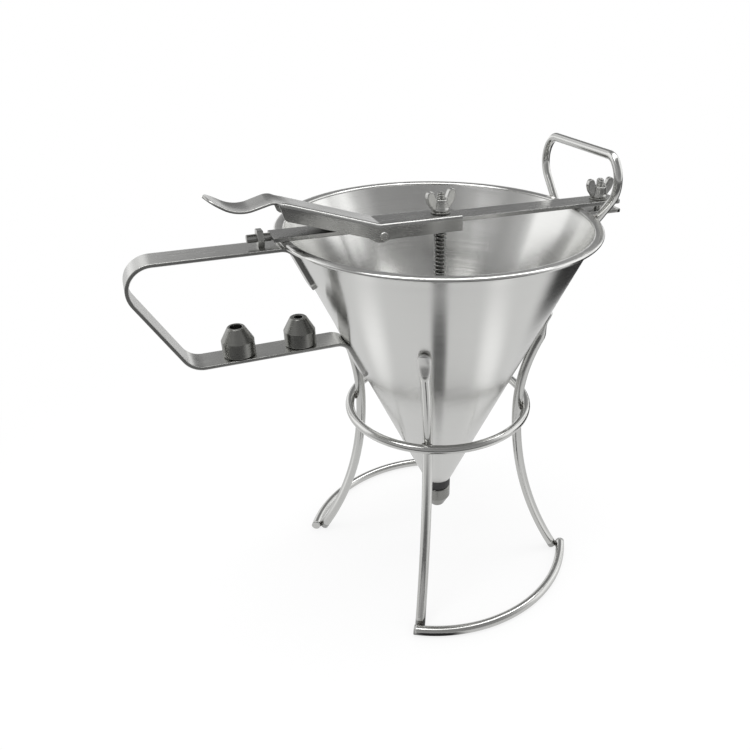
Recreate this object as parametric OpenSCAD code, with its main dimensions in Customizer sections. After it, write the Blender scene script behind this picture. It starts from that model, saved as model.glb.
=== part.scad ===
// Pancake batter dispenser: a conical hopper with a lever-lifted stopper valve, on a wire stand.
// The origin is on the table under the hopper's axis. +Z is up, +X runs along the bridge to the wire loop.

/* [Hopper] */
// Height of the rim above the table
rim_h = 248; // [220:1:280]
// Outer radius of the cone's sheet at the rim
mouth_r = 93; // [85:1:100]
// Outer radius of the cone at its outlet end
outlet_r = 10; // [9.5:0.5:12]
// Depth of the cone from the rim to the outlet end
cone_depth = 188; // [175:1:200]
// Thickness of the hopper's sheet
sheet_t = 1; // [0.6:0.1:1.4]
// Width of the rolled rim
rim_w = 6; // [5:0.5:8]
// Thickness of the rolled rim
rim_t = 3; // [2.4:0.1:3.6]

/* [Outlet and nozzles] */
// Radius of the collar's threaded stem
stem_r = 6; // [5.5:0.25:6.5]
// Length of the collar's stem below the cone
stem_len = 16.5; // [14:0.5:16.5]
// Height of the collar's head inside the cone
collar_head_h = 4; // [3:0.5:5]
// Radius of the outlet bore
outlet_bore_r = 4; // [3:0.25:4.5]
// Radius of the valve seat at its wide end
seat_top_r = 8; // [7:0.25:8.5]
// Height of the conical valve seat
seat_h = 6; // [4:0.5:8]
// Outer radius of the black seal ring
seal_r = 9.2; // [8.5:0.1:10]
// Height of the black seal ring
seal_h = 8; // [6:0.5:9]
// Outer radius of a nozzle
nozzle_r = 9.2; // [8.5:0.1:10]
// Height of a nozzle's cylindrical part
nozzle_body_h = 9; // [8.5:0.5:11]
// Height of a nozzle's tapered part
nozzle_taper_h = 8; // [7:0.5:10]
// Radius of a nozzle's small end
nozzle_tip_r = 4.6; // [4:0.1:5.5]
// Depth of the thread bore in a nozzle
nozzle_thread_h = 9.5; // [9:0.25:10.5]
// Bore radius of the fitted nozzle
fine_bore_r = 1.5; // [1:0.25:2]
// Bore radius of the middle spare nozzle
medium_bore_r = 2.5; // [2:0.25:3]
// Bore radius of the wide spare nozzle
wide_bore_r = 3.5; // [3:0.25:4]

/* [Bridge and clamp] */
// Width of the bridge bar
bar_w = 16; // [14:0.5:18]
// Thickness of the bridge bar
bar_t = 2.5; // [2:0.1:3]
// Length of the bridge bar past the rim on the handle's side
bar_end_gap = 3.5; // [2.5:0.5:5.5]
// Length of the bridge bar past the clamp stud on the loop's side
bar_tail = 13; // [10:1:18]
// Radius of the bridge's end pin
bridge_pin_r = 2.25; // [1.75:0.05:2.4]
// Length of the bridge's end pin
bridge_pin_len = 13; // [12:0.5:15]
// Distance across the flats of the pin's eye
eye_flats = 9; // [8.8:0.1:11]
// Thickness of the pin's eye
eye_t = 3.5; // [3:0.5:5]
// Free pin length between the bar's end and the eye
eye_offset = 4; // [3:0.5:5]
// Distance from the rim to the clamp stud
stud_gap = 16.5; // [14.5:0.5:18.5]
// Radius of the clamp stud
stud_r = 2.5; // [2:0.1:3]
// Length of the stud above the bridge bar
stud_rise = 13; // [12:0.5:16]
// Thickness of the clamp lug's strip
lug_t = 2.5; // [2:0.1:3]
// Length of the clamp lug's tab on the cone
lug_tab = 18; // [14:1:22]
// Drop of the clamp lug below the rim's underside
lug_drop = 0.4; // [0.3:0.1:1]

/* [Wing nuts] */
// Radius of a wing nut's hub at its foot
hub_r = 5; // [4.5:0.1:5.5]
// Height of a wing nut's hub
hub_h = 7; // [6:0.5:8]
// Distance from the nut's axis to the tip of a wing
wing_reach = 10.5; // [9:0.5:12]
// Height of the wings above the foot of the hub
wing_h = 12; // [10:0.5:13]
// Thickness of a wing
wing_t = 2.2; // [1.6:0.1:2.6]
// Radius of the two washers
washer_r = 6; // [5.5:0.1:6.5]
// Thickness of the two washers
washer_t = 1; // [0.8:0.1:1.4]

/* [Lever] */
// Distance from the rod's axis to the lever's pin
fulcrum_x = 39.5; // [37:0.5:41]
// Reach of the lever past the rod's axis
lever_end = 10; // [9:0.5:14]
// Thickness of the lever's sheet
lever_t = 1.5; // [1.2:0.1:1.8]
// Depth of the lever's channel, top plate included
channel_h = 9; // [8:0.5:10]
// Rise angle of the lever's long arm
arm_angle = 17.5; // [16:0.5:22]
// Length of the long arm from the bend to the crest
arm_len = 61; // [58:1:64]
// Length of the paddle's dished stretch
paddle_len = 33; // [30:1:38]
// Dip of the paddle's hollow below the crest
paddle_dip = 5; // [4:0.5:6]
// Radius of the lever's pin
lever_pin_r = 1.5; // [1.2:0.1:1.8]
// Outer radius of the fulcrum sleeve
sleeve_r = 3; // [2.6:0.1:3.4]
// Radius of a rivet head on the lever's pin
rivet_r = 2.8; // [2.4:0.1:3.4]
// Thickness of a rivet head
rivet_t = 1.2; // [0.8:0.1:1.6]

/* [Rod and spring] */
// Radius of the rod
rod_r = 2.5; // [2:0.1:2.6]
// Length of the rod above the lever's top
rod_rise = 12; // [10:0.5:15]
// Radius of the stopper
stopper_r = 7; // [6.5:0.1:7.5]
// Length of the stopper's cylindrical part
stopper_len = 15; // [12:1:20]
// Height of the stopper's tapered shoulder
stopper_shoulder = 5; // [3:0.5:8]
// Depth of the rod's seat in the stopper
rod_seat = 12; // [8:1:14]
// Free length of the spring under the bridge
spring_len = 79; // [70:1:84]
// Outer radius of the spring
spring_r = 4.3; // [4.1:0.1:4.6]
// Radius of the spring's wire
spring_wire_r = 0.6; // [0.5:0.05:0.7]
// Number of turns of the spring
spring_turns = 31; // [24:1:34]
// Radius of the collar under the spring
spring_collar_r = 5.5; // [5:0.1:6.5]
// Height of the collar under the spring
spring_collar_h = 6; // [4:0.5:8]

/* [Handle] */
// Width of the handle's strip
strip_w = 18; // [16:0.5:20]
// Thickness of the handle's strip
strip_t = 2; // [1.6:0.1:2.4]
// Reach of the handle's outer bend from the rim
handle_loop = 80.5; // [76:0.5:88]
// Depth of the handle's loop, from its top run to its lower run
handle_drop = 62; // [56:1:66]
// Slope of the handle's outer run from the vertical
handle_slope = 28.6; // [24:0.2:32]
// Radius of the handle's outer bend
outer_bend_r = 14; // [11:0.5:16]
// Radius of the handle's lower bend
lower_bend_r = 12; // [8:0.5:15]
// Radius of the bends that lead into the tabs
tab_bend_r = 8; // [6:0.5:10]
// Length of the tabs welded on the cone
tab_len = 27; // [20:1:32]
// Distance from the cone to the inner spare nozzle's axis
peg_gap = 26; // [24:0.5:29]
// Distance between the two spare nozzles
peg_pitch = 35.5; // [30:0.5:38]
// Radius of a nozzle peg
peg_r = 5.7; // [5:0.1:5.8]
// Height of a nozzle peg
peg_h = 8; // [6:0.5:9]

/* [Wire loop] */
// Radius of the loop's wire
loop_wire_r = 2.65; // [2.2:0.05:3]
// Height of the loop's top above the rim
loop_h = 38.5; // [34:0.5:44]
// Half width of the loop at its feet
loop_foot = 18; // [16:0.5:22]
// Half width of the loop where it is widest
loop_half = 44; // [38:0.5:48]
// Half width of the loop at its top
loop_top = 33; // [28:0.5:36]
// Height of the loop's widest place above the rim
loop_wide_h = 22; // [18:0.5:26]
// Length of the loop's feet below the rim
loop_feet_drop = 9; // [6:0.5:12]

/* [Stand] */
// Height of the ring above the table
ring_h = 124; // [110:1:134]
// Radius of the ring's wire
ring_wire_r = 2.9; // [2.4:0.1:3.3]
// Radius of the legs' wire
leg_wire_r = 3.3; // [2.8:0.1:3.7]
// Radius of the base arcs' wire
base_wire_r = 3.2; // [2.8:0.1:3.6]
// Bend radius of the legs above the ring
leg_top_bend_r = 130; // [115:1:145]
// Slope of the legs at the foot, from the vertical
leg_flare = 32; // [26:0.5:36]
// Angle of the right leg round the axis
leg_turn = -31; // [-40:1:-25]
// Length of the flattened pad at a leg's upper end
pad_len = 19; // [16:1:22]
// Width of the flattened pad
pad_w = 8; // [7.4:0.2:9]
// Thickness of the flattened pad
pad_t = 2.6; // [2:0.1:3]
// Angle that each base arc runs on past its legs
arc_overrun = 1.9; // [1.8:0.1:4]
// Height of a leg's cut foot above the table
foot_rise = 0.4; // [0.3:0.1:1]

/* [Fits] */
// Gap between pieces that rest on each other
rest_gap = 0.3; // [0.2:0.05:0.4]
// Clearance of a turning or sliding fit
run_gap = 0.05; // [0.03:0.01:0.08]
// Depth of a weld's bite
weld = 0.2; // [0.1:0.05:0.3]
// Gap between the lever's channel and the bridge bar
side_gap = 0.8; // [0.5:0.1:1.2]

/* [Hidden] */
$fn = 64;
hull_fn = 32;

steel = "gainsboro";
wire_steel = "lightgray";
turned_steel = "gray";

// The cone's slope from the vertical, and its outer radius at a height
cone_a = atan2(mouth_r - outlet_r, cone_depth);
outlet_z = rim_h - cone_depth;
function cone_r(z) = outlet_r + (z - outlet_z) * tan(cone_a);
sheet_dr = sheet_t / cos(cone_a);
rim_roll_r = rim_t / 2;
rim_out_r = mouth_r - rim_roll_r + rim_w;
bar_left = rim_out_r + bar_end_gap;
stud_x = rim_out_r + stud_gap;
bar_right = stud_x + bar_tail;
handle_reach = rim_out_r + handle_loop;

// Heights of the bridge and of what is on it
bar_z = rim_h + rim_roll_r;
bar_top = bar_z + bar_t;
pin_z = bar_z + bar_t / 2;
lever_under = bar_top + rest_gap;
lever_top = lever_under + lever_t;
clamp_nut_z = bar_top + washer_t;
rod_nut_z = lever_top + rest_gap + washer_t;

// The fulcrum: the sleeve is welded under the bar
fulcrum_z = bar_z + weld - sleeve_r;
channel_in = bar_w + 2 * side_gap;
channel_out = channel_in + 2 * lever_t;

// The handle's strip: its top run carries the eye
strip_top_z = pin_z - eye_flats / 2;
strip_z = strip_top_z - strip_t / 2;
strip_low_z = strip_z - handle_drop;
strip_low_top = strip_low_z + strip_t / 2;
peg_near = cone_r(strip_low_z) + peg_gap;
eye_x = -bar_left - eye_offset - eye_t / 2;

// The stand: a leg's pad lies along the cone, its waist is at the ring
pad_z = ring_h + leg_top_bend_r * sin(cone_a);
waist_r = cone_r(pad_z) + (leg_wire_r + rest_gap) / cos(cone_a) - leg_top_bend_r * (1 - cos(cone_a));
ring_r = waist_r + leg_wire_r + ring_wire_r - weld;
foot_z = leg_wire_r * sin(leg_flare) + foot_rise;
leg_low_bend_r = (ring_h - foot_z) / sin(leg_flare);
foot_r = waist_r + leg_low_bend_r * (1 - cos(leg_flare));
// The outer edge of a leg's foot bites into the base arc's inner side
foot_edge_dz = foot_z + leg_wire_r * sin(leg_flare) - base_wire_r;
base_r = foot_r + leg_wire_r * cos(leg_flare) + sqrt(pow(base_wire_r - weld, 2) - pow(foot_edge_dz, 2));

// ---- Paths of straight runs joined by round bends, in a plane ----
bend_step = 5;
function unit(v) = v / norm(v);
function heading(a, b) = atan2(b[1] - a[1], b[0] - a[0]);
function cross2(a, b) = a[0] * b[1] - a[1] * b[0];
function bend_angle(p, i) = acos(unit(p[i] - p[i - 1]) * unit(p[i + 1] - p[i]));
function bend_side(p, i) = sign(cross2(p[i] - p[i - 1], p[i + 1] - p[i]));
function bend_start(p, r, i) = p[i] - unit(p[i] - p[i - 1]) * r[i] * tan(bend_angle(p, i) / 2);
function left_of(h) = [-sin(h), cos(h)];

// Stations [point, heading] along the path: its two ends, and steps round each bend
function bend_stations(p, r, i) = let (side = bend_side(p, i), turn = bend_angle(p, i),
        h = heading(p[i - 1], p[i]), centre = bend_start(p, r, i) + side * r[i] * left_of(h),
        steps = ceil(turn / bend_step))
    [for (k = [0:steps]) let (now = h + side * turn * k / steps) [centre - side * r[i] * left_of(now), now]];
function stations(p, r) = let (last = len(p) - 1) concat(
    [[p[0], heading(p[0], p[1])]],
    [for (i = [1:last - 1]) each bend_stations(p, r, i)],
    [[p[last], heading(p[last - 1], p[last])]]);

// A ring of a tube in the plane's own axes: half sizes a across and b along Z, with an offset across
function ring_at(station, a, b, offset, square) = [for (k = [0:tube_sides - 1])
    let (w = 360 * k / tube_sides, across = offset + a * bulge(cos(w), square))
        [each station[0] + across * left_of(station[1]), b * bulge(sin(w), square)]];
function bulge(x, square) = sign(x) * pow(abs(x), square);
tube_sides = 16;

// Joins rings of points into one closed tube
module skin(rings) {
    n = len(rings[0]);
    last = len(rings) - 1;
    sides = [for (i = [0:last - 1], k = [0:n - 1]) let (a = i * n, m = (k + 1) % n)
        each [[a + k, a + n + k, a + n + m], [a + k, a + n + m, a + m]]];
    ends = [for (k = [1:n - 2]) each [[0, k, k + 1], [last * n, last * n + k + 1, last * n + k]]];
    polyhedron(points = [for (ring = rings) each ring], faces = concat(sides, ends), convexity = 10);
}

// Round wire along such a path
module bent_wire(p, r, wire_r) {
    skin([for (s = stations(p, r)) ring_at(s, wire_r, wire_r, 0, 1)]);
}

// The edge view of a strip along such a path
module strip_edge(p, r, t) {
    line = stations(p, r);
    polygon(concat([for (s = line) s[0] + t / 2 * left_of(s[1])],
        [for (i = [len(line) - 1:-1:0]) line[i][0] - t / 2 * left_of(line[i][1])]));
}

// Puts a drawing of X and Z upright, as wide as w along Y
module upright(w) {
    rotate([90, 0, 0]) linear_extrude(height = w, center = true) children();
}

// ---- Hopper ----
module hopper() {
    color(steel) {
        rotate_extrude() polygon([[outlet_r, outlet_z], [mouth_r, rim_h], [mouth_r - sheet_dr, rim_h],
            [outlet_r - sheet_dr, outlet_z]]);
        translate([0, 0, rim_h]) rotate_extrude() translate([mouth_r, 0]) circle(r = rim_roll_r);
        translate([0, 0, rim_h]) rotate_extrude() translate([rim_out_r - rim_roll_r, 0]) circle(r = rim_roll_r);
        translate([0, 0, rim_h - rim_roll_r]) difference() {
            cylinder(h = rim_t, r = rim_out_r - rim_roll_r);
            translate([0, 0, -1]) cylinder(h = rim_t + 2, r = mouth_r);
        }
    }
}

// ---- Outlet ----
seat_foot_z = outlet_z + collar_head_h - seat_h;
seat_slope = (seat_top_r - outlet_bore_r) / seat_h;
function inner_r(z) = cone_r(z) - sheet_dr;

module outlet_collar() {
    color(turned_steel) rotate_extrude() polygon([
        [outlet_bore_r, outlet_z - stem_len], [stem_r, outlet_z - stem_len], [stem_r, outlet_z],
        [inner_r(outlet_z), outlet_z], [inner_r(outlet_z + collar_head_h), outlet_z + collar_head_h],
        [seat_top_r, outlet_z + collar_head_h], [outlet_bore_r, seat_foot_z]]);
}

module seal_ring() {
    edge = 0.8;
    color([0.07, 0.07, 0.07]) translate([0, 0, outlet_z - seal_h]) rotate_extrude() polygon([
        [stem_r, 0], [seal_r - edge, 0], [seal_r, edge], [seal_r, seal_h], [stem_r, seal_h]]);
}

// ---- Nozzles, drawn standing on the thread end ----
nozzle_h = nozzle_body_h + nozzle_taper_h;
nozzle_thread_r = stem_r + run_gap;

module nozzle(bore_r) {
    throat_h = nozzle_thread_h + (nozzle_thread_r - bore_r) * 0.6;
    lip = 0.5;
    color(turned_steel) rotate_extrude() polygon([
        [nozzle_thread_r, 0], [nozzle_r - lip, 0], [nozzle_r, lip], [nozzle_r, nozzle_body_h],
        [nozzle_tip_r + lip, nozzle_h - lip], [nozzle_tip_r, nozzle_h], [bore_r, nozzle_h],
        [bore_r, throat_h], [nozzle_thread_r, nozzle_thread_h]]);
}

module fitted_nozzle() {
    translate([0, 0, outlet_z - seal_h - rest_gap]) mirror([0, 0, 1]) nozzle(fine_bore_r);
}

module spare_nozzle_wide() {
    translate([-peg_near - peg_pitch, 0, strip_low_top + rest_gap]) nozzle(wide_bore_r);
}

module spare_nozzle_medium() {
    translate([-peg_near, 0, strip_low_top + rest_gap]) nozzle(medium_bore_r);
}

// A round pin whose far end has a chamfer
module chamfered_pin(h, r, chamfer) {
    rotate_extrude() polygon([[0, 0], [r, 0], [r, h - chamfer], [r - chamfer, h], [0, h]]);
}

module nozzle_pegs() {
    chamfer = 0.8;
    color(turned_steel) for (x = [-peg_near, -peg_near - peg_pitch])
        translate([x, 0, strip_low_top]) chamfered_pin(peg_h, peg_r, chamfer);
}

// ---- Handle ----
// A point on the strip's centre line where it lies on the cone at height z
function on_cone(z, t) = [-(cone_r(z) + (t / 2 - weld) / cos(cone_a)), z];
outer_corner_turn = 90 + handle_slope;
outer_corner_x = -(handle_reach - strip_t / 2 - outer_bend_r + outer_bend_r * tan(outer_corner_turn / 2));
lower_corner_x = outer_corner_x + (strip_z - strip_low_z) * tan(handle_slope);
handle_path = [
    on_cone(strip_z - tab_len * cos(cone_a), strip_t),
    on_cone(strip_z, strip_t),
    [outer_corner_x, strip_z],
    [lower_corner_x, strip_low_z],
    on_cone(strip_low_z, strip_t),
    on_cone(strip_low_z - tab_len * cos(cone_a), strip_t)];
handle_bends = [0, tab_bend_r, outer_bend_r, lower_bend_r, tab_bend_r, 0];

module handle() {
    color(steel) difference() {
        upright(strip_w) strip_edge(handle_path, handle_bends, strip_t);
        // The strip's tabs are hollowed to the cone, so that they lie on it
        rotate_extrude() polygon([[0, outlet_z], [outlet_r - weld, outlet_z],
            [mouth_r - weld, rim_h], [0, rim_h]]);
    }
}

module pin_eye() {
    color(steel) translate([eye_x, 0, pin_z]) rotate([0, 90, 0]) difference() {
        rotate([0, 0, 30]) cylinder(h = eye_t, r = eye_flats / 2 / cos(30), center = true, $fn = 6);
        cylinder(h = eye_t + 2, r = bridge_pin_r + run_gap, center = true);
    }
}

// ---- Wire loop ----
loop_rim_y = loop_foot + (loop_half - loop_foot) * loop_feet_drop / (loop_feet_drop + loop_wide_h);
loop_x = sqrt(pow(rim_out_r + loop_wire_r - weld, 2) - loop_rim_y * loop_rim_y);
loop_side = [[loop_foot, -loop_feet_drop], [loop_half, loop_wide_h], [loop_top, loop_h]];
loop_path = concat(loop_side, [for (i = [2:-1:0]) [-loop_side[i][0], loop_side[i][1]]]);
loop_side_bend_r = 15;
loop_top_bend_r = 9;
loop_bends = [0, loop_side_bend_r, loop_top_bend_r, loop_top_bend_r, loop_side_bend_r, 0];

module wire_loop() {
    color(wire_steel) translate([loop_x, 0, rim_h]) rotate([90, 0, 90])
        bent_wire(loop_path, loop_bends, loop_wire_r);
}

// ---- Clamp ----
lug_z = rim_h - rim_roll_r - lug_drop - lug_t / 2;
lug_path = [[bar_right, lug_z], [-on_cone(lug_z, lug_t)[0], lug_z],
    [-on_cone(lug_z - lug_tab * cos(cone_a), lug_t)[0], lug_z - lug_tab * cos(cone_a)]];

module clamp_lug() {
    corner = 3;
    color(steel) difference() {
        upright(bar_w) strip_edge(lug_path, [0, 5, 0], lug_t);
        rotate_extrude() polygon([[0, outlet_z], [outlet_r - weld, outlet_z],
            [mouth_r - weld, rim_h], [0, rim_h]]);
        translate([stud_x, 0, lug_z - lug_t]) cylinder(h = 2 * lug_t, r = stud_r);
        bar_corners(bar_right, corner, lug_z - lug_t, 2 * lug_t);
    }
}

// Takes the sharp corners off a strip's end at x
module bar_corners(x, r, z, h) {
    for (s = [-1, 1]) translate([x - r, s * (bar_w / 2 - r), z]) difference() {
        translate([0, s > 0 ? 0 : -r - 1, 0]) cube([r + 1, r + 1, h]);
        translate([0, 0, -1]) cylinder(h = h + 2, r = r);
    }
}

module clamp_stud() {
    chamfer = 0.6;
    foot = lug_z - lug_t / 2;
    color(turned_steel) translate([stud_x, 0, foot]) chamfered_pin(bar_top + stud_rise - foot, stud_r, chamfer);
}

module washer(bore_r) {
    difference() {
        cylinder(h = washer_t, r = washer_r);
        translate([0, 0, -1]) cylinder(h = washer_t + 2, r = bore_r + run_gap);
    }
}

module clamp_washer() {
    color(steel) translate([stud_x, 0, bar_top]) washer(stud_r);
}

// ---- Wing nuts ----
// One wing: a rounded blade that leans out from the hub
module wing() {
    tip_r = 3.2;
    rotate([90, 0, 0]) linear_extrude(height = wing_t, center = true) hull() {
        translate([wing_reach - tip_r, wing_h - tip_r]) circle(r = tip_r, $fn = hull_fn);
        translate([hub_r - 1.2, 2.4]) circle(r = 1.4, $fn = hull_fn);
        translate([hub_r - 1.8, hub_h - 1]) circle(r = 0.8, $fn = hull_fn);
    }
}

module wing_nut(bore_r) {
    color(turned_steel) difference() {
        union() {
            cylinder(h = hub_h, r1 = hub_r, r2 = hub_r - 0.8);
            wing();
            rotate([0, 0, 180]) wing();
        }
        translate([0, 0, -1]) cylinder(h = wing_h + 2, r = bore_r + run_gap);
    }
}

module clamp_wing_nut() {
    translate([stud_x, 0, clamp_nut_z + run_gap]) rotate([0, 0, 72]) wing_nut(stud_r);
}

module rod_wing_nut() {
    translate([0, 0, rod_nut_z + run_gap]) rotate([0, 0, -12]) wing_nut(rod_r);
}

// ---- Bridge ----
module bridge_bar() {
    corner = 3;
    color(steel) difference() {
        translate([-bar_left, -bar_w / 2, bar_z]) cube([bar_left + bar_right, bar_w, bar_t]);
        translate([0, 0, bar_z - 1]) cylinder(h = bar_t + 2, r = rod_r + 2 * run_gap);
        translate([stud_x, 0, bar_z - 1]) cylinder(h = bar_t + 2, r = stud_r + 2 * run_gap);
        bar_corners(bar_right, corner, bar_z - 1, bar_t + 2);
    }
}

module bridge_pin() {
    chamfer = 0.5;
    color(turned_steel) translate([-bar_left, 0, pin_z]) rotate([0, -90, 0])
        chamfered_pin(bridge_pin_len, bridge_pin_r, chamfer);
}

module fulcrum_sleeve() {
    color(steel) translate([-fulcrum_x, 0, fulcrum_z]) rotate([90, 0, 0]) difference() {
        cylinder(h = bar_w, r = sleeve_r, center = true);
        cylinder(h = bar_w + 2, r = lever_pin_r + run_gap, center = true);
    }
}

// ---- Lever ----
plate_z = lever_under + lever_t / 2;
bend_lead = 1.5;
arm = [-cos(arm_angle), sin(arm_angle)];
lever_bend = [-fulcrum_x - bend_lead, plate_z];
crest = lever_bend + arm_len * arm;
hollow_share = 0.55;
tip_rise_share = 0.75;
hollow = crest + [-paddle_len * hollow_share, -paddle_dip];
paddle_tip = crest + [-paddle_len, paddle_dip * tip_rise_share];
lever_path = [[lever_end, plate_z], lever_bend, crest, hollow, paddle_tip];
lever_bend_r = 4;
crest_r = 9;
hollow_r = 20;
lever_bends = [0, lever_bend_r, crest_r, hollow_r, 0];
flange_foot = lever_under + lever_t - channel_h;
arm_foot = lever_bend + (channel_h - lever_t / 2) * [-sin(arm_angle), -cos(arm_angle)];
flange_corner_x = arm_foot[0] + (arm_foot[1] - flange_foot) / tan(arm_angle);
flange_len = arm_len - 4;
flange_end_lean = 7;

module lever_flange() {
    polygon([[lever_end, flange_foot], [lever_end, plate_z], lever_bend,
        lever_bend + flange_len * arm,
        arm_foot + (flange_len - flange_end_lean) * arm,
        [flange_corner_x, flange_foot]]);
    translate([-fulcrum_x, fulcrum_z]) circle(r = sleeve_r + 0.4);
}

module lever() {
    slot_r = rod_r + rest_gap;
    slot_run = 3;
    tip_x = paddle_tip[0];
    color(steel) difference() {
        union() {
            difference() {
                upright(channel_out) strip_edge(lever_path, lever_bends, lever_t);
                // The paddle's end is rounded in plan
                translate([tip_x, 0, 0]) difference() {
                    translate([-5, -channel_out, plate_z]) cube([5 + channel_out / 2, 2 * channel_out, 60]);
                    translate([channel_out / 2 - 0.5, 0, plate_z - 1]) cylinder(h = 62, r = channel_out / 2);
                }
            }
            for (s = [-1, 1]) translate([0, s * (channel_in + lever_t) / 2, 0]) upright(lever_t) lever_flange();
        }
        translate([-fulcrum_x, 0, fulcrum_z]) rotate([90, 0, 0])
            cylinder(h = channel_out + 2, r = lever_pin_r, center = true);
        // The slot that the rod passes through
        for (x = [0, slot_run]) translate([x, 0, plate_z - lever_t]) cylinder(h = 2 * lever_t, r = slot_r);
        translate([0, -slot_r, plate_z - lever_t]) cube([slot_run, 2 * slot_r, 2 * lever_t]);
    }
}

module lever_pin() {
    half = channel_out / 2;
    end_r = rivet_r * 0.6;
    color(turned_steel) translate([-fulcrum_x, 0, fulcrum_z]) rotate([90, 0, 0]) rotate_extrude() polygon([
        [0, -half - rivet_t], [end_r, -half - rivet_t], [rivet_r, -half], [lever_pin_r, -half],
        [lever_pin_r, half], [rivet_r, half], [end_r, half + rivet_t], [0, half + rivet_t]]);
}

// ---- Rod, stopper and spring ----
seat_gap = rest_gap / sin(atan(seat_slope));
stopper_z = seat_foot_z + (stopper_r - outlet_bore_r) / seat_slope + seat_gap;
stopper_top = stopper_z + stopper_len + stopper_shoulder;
spring_top = bar_z - rest_gap;
collar_top = spring_top - spring_len - rest_gap;

module rod() {
    chamfer = 0.6;
    foot = stopper_top - rod_seat;
    top = lever_top + rod_rise;
    color(steel) translate([0, 0, foot]) chamfered_pin(top - foot, rod_r, chamfer);
}

module valve_stopper() {
    nose_r = rod_r;
    nose_z = stopper_z - (stopper_r - nose_r) / seat_slope;
    color(turned_steel) difference() {
        rotate_extrude() polygon([[0, nose_z], [nose_r, nose_z], [stopper_r, stopper_z],
            [stopper_r, stopper_z + stopper_len], [rod_r + 1.2, stopper_top], [0, stopper_top]]);
        translate([0, 0, stopper_top - rod_seat]) cylinder(h = rod_seat + 1, r = rod_r);
    }
}

module spring_collar() {
    color(turned_steel) translate([0, 0, collar_top - spring_collar_h]) difference() {
        cylinder(h = spring_collar_h, r = spring_collar_r);
        translate([0, 0, -1]) cylinder(h = spring_collar_h + 2, r = rod_r);
    }
}

module rod_washer() {
    color(steel) translate([0, 0, lever_top + rest_gap]) washer(rod_r);
}

// The spring is one tube swept along a helix
coil_r = spring_r - spring_wire_r;
coil_rings = 8;
wire_sides = 6;
coil_z0 = collar_top + rest_gap + spring_wire_r;
coil_rise = spring_len - 2 * spring_wire_r - rest_gap;
coil_pitch = coil_rise / spring_turns;
function coil_point(i) = let (a = 360 * i / coil_rings)
    [coil_r * cos(a), coil_r * sin(a), coil_z0 + coil_pitch * i / coil_rings];
function coil_ring(i) = let (a = 360 * i / coil_rings, c = coil_point(i), lean = atan2(coil_pitch, 2 * PI * coil_r))
    [for (k = [0:wire_sides - 1]) let (b = 360 * k / wire_sides, u = spring_wire_r * cos(b), v = spring_wire_r * sin(b))
        c + u * [cos(a), sin(a), 0] + v * [sin(lean) * sin(a), -sin(lean) * cos(a), cos(lean)]];
coil_count = coil_rings * spring_turns;
coil_gap = min([for (i = [0:coil_rings - 1], p = coil_ring(i), q = coil_ring(i + coil_rings)) norm(p - q)]);

module spring() {
    color(steel) skin([for (i = [coil_count:-1:0]) coil_ring(i)]);
}
echo(spring_least_gap_mm = coil_gap);

// ---- Stand ----
module stand_ring() {
    color(wire_steel) translate([0, 0, ring_h]) rotate_extrude() translate([ring_r, 0]) circle(r = ring_wire_r);
}

// A leg in X and Z: an arc from the foot up to the waist at the ring, and one on to the cone. The second
// arc ends along the cone, where the wire is hammered flat into a pad with a round end.
pad_start = [waist_r + leg_top_bend_r * (1 - cos(cone_a)), pad_z];
pad_way = [sin(cone_a), cos(cone_a)];
low_steps = 7;
top_steps = 5;
leg_stations = concat(
    [for (i = [0:low_steps]) let (a = leg_flare * (1 - i / low_steps))
        [[waist_r + leg_low_bend_r * (1 - cos(a)), ring_h - leg_low_bend_r * sin(a)], 90 + a]],
    [for (i = [1:top_steps]) let (a = cone_a * i / top_steps)
        [[waist_r + leg_top_bend_r * (1 - cos(a)), ring_h + leg_top_bend_r * sin(a)], 90 - a]]);
// Along the pad: distance, share of the flattening, share of the width
pad_flats = [[0.5 * leg_wire_r, 0.35, 1], [leg_wire_r, 0.75, 1], [1.5 * leg_wire_r, 1, 1], [pad_len - pad_w / 2, 1, 1],
    [pad_len - pad_w / 4, 1, 0.87], [pad_len - pad_w / 12, 1, 0.55], [pad_len, 1, 0.2]];
function mix(a, b, share) = a + (b - a) * share;
leg_rings = concat(
    [for (s = leg_stations) ring_at(s, leg_wire_r, leg_wire_r, 0, 1)],
    [for (f = pad_flats) let (half_t = mix(leg_wire_r, pad_t / 2, f[1]))
        ring_at([pad_start + f[0] * pad_way, 90 - cone_a], half_t, mix(leg_wire_r, pad_w / 2, f[1]) * f[2],
            leg_wire_r - half_t, mix(1, 0.55, f[1]))]);

module leg(turn) {
    color(wire_steel) rotate([0, 0, turn]) rotate([90, 0, 0]) skin(leg_rings);
}

module right_leg() {
    leg(leg_turn);
}

module back_leg() {
    leg(leg_turn + 90);
}

module left_leg() {
    leg(leg_turn + 180);
}

module front_leg() {
    leg(leg_turn + 270);
}

module base_arc(from) {
    color(wire_steel) translate([0, 0, base_wire_r]) rotate([0, 0, from - arc_overrun])
        rotate_extrude(angle = 90 + 2 * arc_overrun) translate([base_r, 0]) circle(r = base_wire_r);
}

module front_base_arc() {
    base_arc(leg_turn - 90);
}

module rear_base_arc() {
    base_arc(leg_turn + 90);
}

hopper();
outlet_collar();
seal_ring();
fitted_nozzle();
spare_nozzle_wide();
spare_nozzle_medium();
nozzle_pegs();
handle();
pin_eye();
wire_loop();
clamp_lug();
clamp_stud();
clamp_washer();
clamp_wing_nut();
bridge_bar();
bridge_pin();
fulcrum_sleeve();
lever();
lever_pin();
rod();
valve_stopper();
spring_collar();
spring();
rod_washer();
rod_wing_nut();
stand_ring();
front_leg();
right_leg();
back_leg();
left_leg();
front_base_arc();
rear_base_arc();
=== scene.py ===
from math import acos, asin, atan2, ceil, copysign, cos, dist, exp, pi, radians, sin, sqrt, tan

import bmesh
import bpy
from mathutils import Matrix, Vector


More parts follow.
